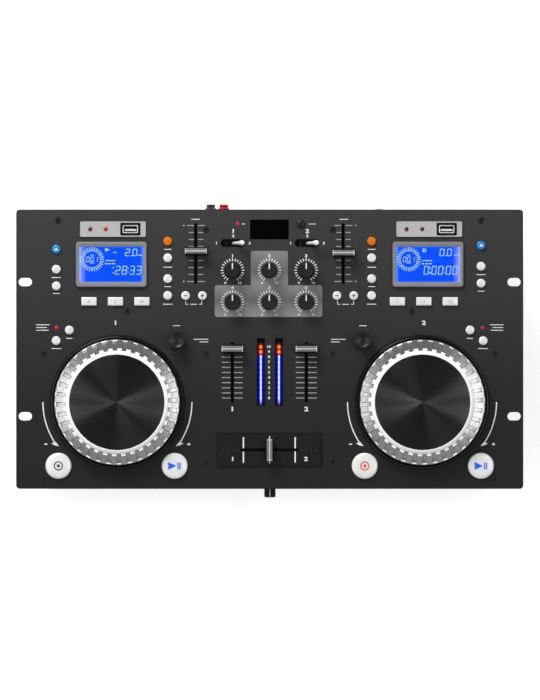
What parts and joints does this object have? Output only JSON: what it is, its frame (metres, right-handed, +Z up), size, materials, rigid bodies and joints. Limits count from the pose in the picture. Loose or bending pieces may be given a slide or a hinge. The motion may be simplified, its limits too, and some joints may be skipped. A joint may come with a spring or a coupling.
{
  "type": "dual disc player and mixer",
  "caption": "Rack-width disc-jockey console: disc players with jog wheels, displays, trays and faders either side of a small mixer.",
  "frame": {"origin": "under the centre of the front panel's rectangle, on the plane that the feet stand on", "axes": "X along the panel to the right, Y to the rear, Z up out of the panel"},
  "size_m": [0.4826, 0.2802, 0.109],
  "materials": {
    "panel_paint": "fine-textured charcoal powder coat",
    "case_paint": "matt black powder coat",
    "foot_rubber": "matt moulded rubber",
    "black_screw": "black oxide",
    "bezel_grey": "satin grey moulding",
    "display_lens": "clear lens over a lit blue display",
    "silver_plate": "satin silver paint",
    "bright_metal": "bright plated steel",
    "black_plastic": "satin black moulding",
    "light_lens": "clear tinted lens",
    "board_green": "solder-masked board",
    "drive_steel": "zinc-plated sheet",
    "jog_silver": "satin silver ring, black platter",
    "knob_black": "soft-touch black with a white pointer",
    "chrome": "polished chrome",
    "fader_silver": "silver ridge on a black base",
    "tray_black": "satin black moulding",
    "key_white": "pearl silver-white",
    "key_blue": "glossy blue",
    "key_dark": "satin black"
  },
  "bodies": {
    "console": {"top_panel": "panel_paint", "case_floor": "case_paint", "case_walls": "case_paint", "rubber_feet": "foot_rubber", "panel_screws": "black_screw", "display_bezels": "bezel_grey", "display_windows": "display_lens", "usb_plates": "silver_plate", "usb_sockets": "bright_metal", "crossfader_plate": "black_plastic", "indicator_lights": "light_lens", "jog_bases": "black_plastic", "control_bodies": "black_plastic", "circuit_boards": "board_green", "drive_frames": "drive_steel", "power_supply": "board_green", "mains_inlet": "black_plastic", "jack_sockets": "black_plastic"},
    "left_jog_wheel": {"left_jog_wheel": "jog_silver"},
    "right_jog_wheel": {"right_jog_wheel": "jog_silver"},
    "left_track_knob": {"left_track_knob": "knob_black"},
    "right_track_knob": {"right_track_knob": "knob_black"},
    "mic_knob": {"mic_knob": "knob_black"},
    "master_knob": {"master_knob": "knob_black"},
    "cue_level_knob": {"cue_level_knob": "knob_black"},
    "low_knob": {"low_knob": "knob_black"},
    "mid_knob": {"mid_knob": "knob_black"},
    "high_knob": {"high_knob": "knob_black"},
    "phones_knob": {"phones_knob": "knob_black"},
    "left_source_toggle": {"left_source_toggle": "chrome"},
    "right_source_toggle": {"right_source_toggle": "chrome"},
    "left_pitch_fader": {"left_pitch_fader": "fader_silver"},
    "left_channel_fader": {"left_channel_fader": "fader_silver"},
    "right_pitch_fader": {"right_pitch_fader": "fader_silver"},
    "right_channel_fader": {"right_channel_fader": "fader_silver"},
    "crossfader_cap": {"crossfader_cap": "fader_silver"},
    "left_eject_key": {"left_eject_key": "key_blue"},
    "left_bend_minus_key": {"left_bend_minus_key": "key_white"},
    "left_bend_plus_key": {"left_bend_plus_key": "key_white"},
    "left_loop_keys": {"left_loop_keys": "key_white"},
    "left_mode_keys": {"left_mode_keys": "key_white"},
    "left_track_keys": {"left_track_keys": "key_white"},
    "left_cue_key": {"left_cue_key": "key_white"},
    "left_play_key": {"left_play_key": "key_white"},
    "right_eject_key": {"right_eject_key": "key_blue"},
    "right_bend_minus_key": {"right_bend_minus_key": "key_white"},
    "right_bend_plus_key": {"right_bend_plus_key": "key_white"},
    "right_loop_keys": {"right_loop_keys": "key_white"},
    "right_mode_keys": {"right_mode_keys": "key_white"},
    "right_track_keys": {"right_track_keys": "key_white"},
    "right_cue_key": {"right_cue_key": "key_white"},
    "right_play_key": {"right_play_key": "key_white"},
    "sync_key": {"sync_key": "key_dark"},
    "left_disc_tray": {"left_disc_tray": "tray_black"},
    "left_disc_spindle": {"left_disc_spindle": "drive_steel"},
    "left_laser_pickup": {"left_laser_pickup": "drive_steel"},
    "right_disc_tray": {"right_disc_tray": "tray_black"},
    "right_disc_spindle": {"right_disc_spindle": "drive_steel"},
    "right_laser_pickup": {"right_laser_pickup": "drive_steel"},
    "power_rocker": {"power_rocker": "black_plastic"}
  },
  "joints": [
    {"name": "left_jog_turn", "type": "hinge", "parent": "console", "child": "left_jog_wheel", "pos_m": [-0.1449, -0.0504, 0.092], "axis": [0, 0, 1], "continuous": true},
    {"name": "right_jog_turn", "type": "hinge", "parent": "console", "child": "right_jog_wheel", "pos_m": [0.1449, -0.0504, 0.092], "axis": [0, 0, 1], "continuous": true},
    {"name": "left_tray_slide", "type": "slide", "parent": "console", "child": "left_disc_tray", "axis": [0, -1, 0], "range_m": [0, 0.13]},
    {"name": "right_tray_slide", "type": "slide", "parent": "console", "child": "right_disc_tray", "axis": [0, -1, 0], "range_m": [0, 0.13]},
    {"name": "left_source_throw", "type": "hinge", "parent": "console", "child": "left_source_toggle", "pos_m": [-0.0347, 0.10095, 0.087], "axis": [0, 1, 0], "range_deg": [-54, 0]},
    {"name": "right_source_throw", "type": "hinge", "parent": "console", "child": "right_source_toggle", "pos_m": [0.0358, 0.10095, 0.087], "axis": [0, 1, 0], "range_deg": [-54, 0]},
    {"name": "left_pitch_slide", "type": "slide", "parent": "console", "child": "left_pitch_fader", "axis": [0, 1, 0], "range_m": [-0.0288, 0.0244]},
    {"name": "right_pitch_slide", "type": "slide", "parent": "console", "child": "right_pitch_fader", "axis": [0, 1, 0], "range_m": [-0.0272, 0.026]},
    {"name": "left_channel_slide", "type": "slide", "parent": "console", "child": "left_channel_fader", "axis": [0, 1, 0], "range_m": [-0.0465, 0.0021]},
    {"name": "right_channel_slide", "type": "slide", "parent": "console", "child": "right_channel_fader", "axis": [0, 1, 0], "range_m": [-0.0465, 0.0021]},
    {"name": "crossfader_slide", "type": "slide", "parent": "console", "child": "crossfader_cap", "axis": [1, 0, 0], "range_m": [-0.0225, 0.0225]},
    {"name": "power_rocker_tilt", "type": "hinge", "parent": "console", "child": "power_rocker", "pos_m": [0.178, 0.12565, 0.042], "axis": [1, 0, 0], "range_deg": [-14, 0]},
    {"name": "left_pickup_slide", "type": "slide", "parent": "console", "child": "left_laser_pickup", "axis": [0, 1, 0], "range_m": [0, 0.034]},
    {"name": "right_pickup_slide", "type": "slide", "parent": "console", "child": "right_laser_pickup", "axis": [0, 1, 0], "range_m": [0, 0.034]},
    {"name": "left_spindle_turn", "type": "hinge", "parent": "console", "child": "left_disc_spindle", "pos_m": [-0.142, -0.06595, 0.03], "axis": [0, 0, 1], "continuous": true},
    {"name": "right_spindle_turn", "type": "hinge", "parent": "console", "child": "right_disc_spindle", "pos_m": [0.142, -0.06595, 0.03], "axis": [0, 0, 1], "continuous": true},
    {"name": "phones_knob_turn", "type": "hinge", "parent": "console", "child": "phones_knob", "pos_m": [0.0002, -0.13195, 0.066], "axis": [0, -1, 0], "range_deg": [-150, 150]},
    {"name": "left_track_turn", "type": "hinge", "parent": "console", "child": "left_track_knob", "pos_m": [-0.0881, 0.0081, 0.092], "axis": [0, 0, 1], "continuous": true},
    {"name": "right_track_turn", "type": "hinge", "parent": "console", "child": "right_track_knob", "pos_m": [0.0881, 0.0081, 0.092], "axis": [0, 0, 1], "continuous": true},
    {"name": "mic_knob_turn", "type": "hinge", "parent": "console", "child": "mic_knob", "pos_m": [-0.03535, 0.0751, 0.092], "axis": [0, 0, 1], "range_deg": [-150, 150]},
    {"name": "master_knob_turn", "type": "hinge", "parent": "console", "child": "master_knob", "pos_m": [-0.00035, 0.0751, 0.092], "axis": [0, 0, 1], "range_deg": [-150, 150]},
    {"name": "cue_level_knob_turn", "type": "hinge", "parent": "console", "child": "cue_level_knob", "pos_m": [0.03465, 0.0751, 0.092], "axis": [0, 0, 1], "range_deg": [-150, 150]},
    {"name": "low_knob_turn", "type": "hinge", "parent": "console", "child": "low_knob", "pos_m": [-0.03535, 0.0449, 0.092], "axis": [0, 0, 1], "range_deg": [-150, 150]},
    {"name": "mid_knob_turn", "type": "hinge", "parent": "console", "child": "mid_knob", "pos_m": [-0.00035, 0.0449, 0.092], "axis": [0, 0, 1], "range_deg": [-150, 150]},
    {"name": "high_knob_turn", "type": "hinge", "parent": "console", "child": "high_knob", "pos_m": [0.03465, 0.0449, 0.092], "axis": [0, 0, 1], "range_deg": [-150, 150]},
    {"name": "left_cue_key_press", "type": "slide", "parent": "console", "child": "left_cue_key", "axis": [0, 0, -1], "range_m": [0, 0.001], "stiffness_N_per_m": 1500, "springref_m": -0.0005},
    {"name": "right_cue_key_press", "type": "slide", "parent": "console", "child": "right_cue_key", "axis": [0, 0, -1], "range_m": [0, 0.001], "stiffness_N_per_m": 1500, "springref_m": -0.0005},
    {"name": "left_play_key_press", "type": "slide", "parent": "console", "child": "left_play_key", "axis": [0, 0, -1], "range_m": [0, 0.001], "stiffness_N_per_m": 1500, "springref_m": -0.0005},
    {"name": "right_play_key_press", "type": "slide", "parent": "console", "child": "right_play_key", "axis": [0, 0, -1], "range_m": [0, 0.001], "stiffness_N_per_m": 1500, "springref_m": -0.0005},
    {"name": "left_eject_key_press", "type": "slide", "parent": "console", "child": "left_eject_key", "axis": [0, 0, -1], "range_m": [0, 0.0006], "stiffness_N_per_m": 1500, "springref_m": -0.0003},
    {"name": "right_eject_key_press", "type": "slide", "parent": "console", "child": "right_eject_key", "axis": [0, 0, -1], "range_m": [0, 0.0006], "stiffness_N_per_m": 1500, "springref_m": -0.0003},
    {"name": "sync_key_press", "type": "slide", "parent": "console", "child": "sync_key", "axis": [0, 0, -1], "range_m": [0, 0.0006], "stiffness_N_per_m": 1500, "springref_m": -0.0003},
    {"name": "left_mode_keys_press", "type": "slide", "parent": "console", "child": "left_mode_keys", "axis": [0, 0, -1], "range_m": [0, 0.0006], "stiffness_N_per_m": 1500, "springref_m": -0.0003},
    {"name": "right_mode_keys_press", "type": "slide", "parent": "console", "child": "right_mode_keys", "axis": [0, 0, -1], "range_m": [0, 0.0006], "stiffness_N_per_m": 1500, "springref_m": -0.0003},
    {"name": "left_loop_keys_press", "type": "slide", "parent": "console", "child": "left_loop_keys", "axis": [0, 0, -1], "range_m": [0, 0.0006], "stiffness_N_per_m": 1500, "springref_m": -0.0003},
    {"name": "right_loop_keys_press", "type": "slide", "parent": "console", "child": "right_loop_keys", "axis": [0, 0, -1], "range_m": [0, 0.0006], "stiffness_N_per_m": 1500, "springref_m": -0.0003},
    {"name": "left_track_keys_press", "type": "slide", "parent": "console", "child": "left_track_keys", "axis": [0, 0, -1], "range_m": [0, 0.0006], "stiffness_N_per_m": 1500, "springref_m": -0.0003},
    {"name": "right_track_keys_press", "type": "slide", "parent": "console", "child": "right_track_keys", "axis": [0, 0, -1], "range_m": [0, 0.0006], "stiffness_N_per_m": 1500, "springref_m": -0.0003},
    {"name": "left_bend_minus_key_press", "type": "slide", "parent": "console", "child": "left_bend_minus_key", "axis": [0, 0, -1], "range_m": [0, 0.0006], "stiffness_N_per_m": 1500, "springref_m": -0.0003},
    {"name": "left_bend_plus_key_press", "type": "slide", "parent": "console", "child": "left_bend_plus_key", "axis": [0, 0, -1], "range_m": [0, 0.0006], "stiffness_N_per_m": 1500, "springref_m": -0.0003},
    {"name": "right_bend_minus_key_press", "type": "slide", "parent": "console", "child": "right_bend_minus_key", "axis": [0, 0, -1], "range_m": [0, 0.0006], "stiffness_N_per_m": 1500, "springref_m": -0.0003},
    {"name": "right_bend_plus_key_press", "type": "slide", "parent": "console", "child": "right_bend_plus_key", "axis": [0, 0, -1], "range_m": [0, 0.0006], "stiffness_N_per_m": 1500, "springref_m": -0.0003}
  ]
}
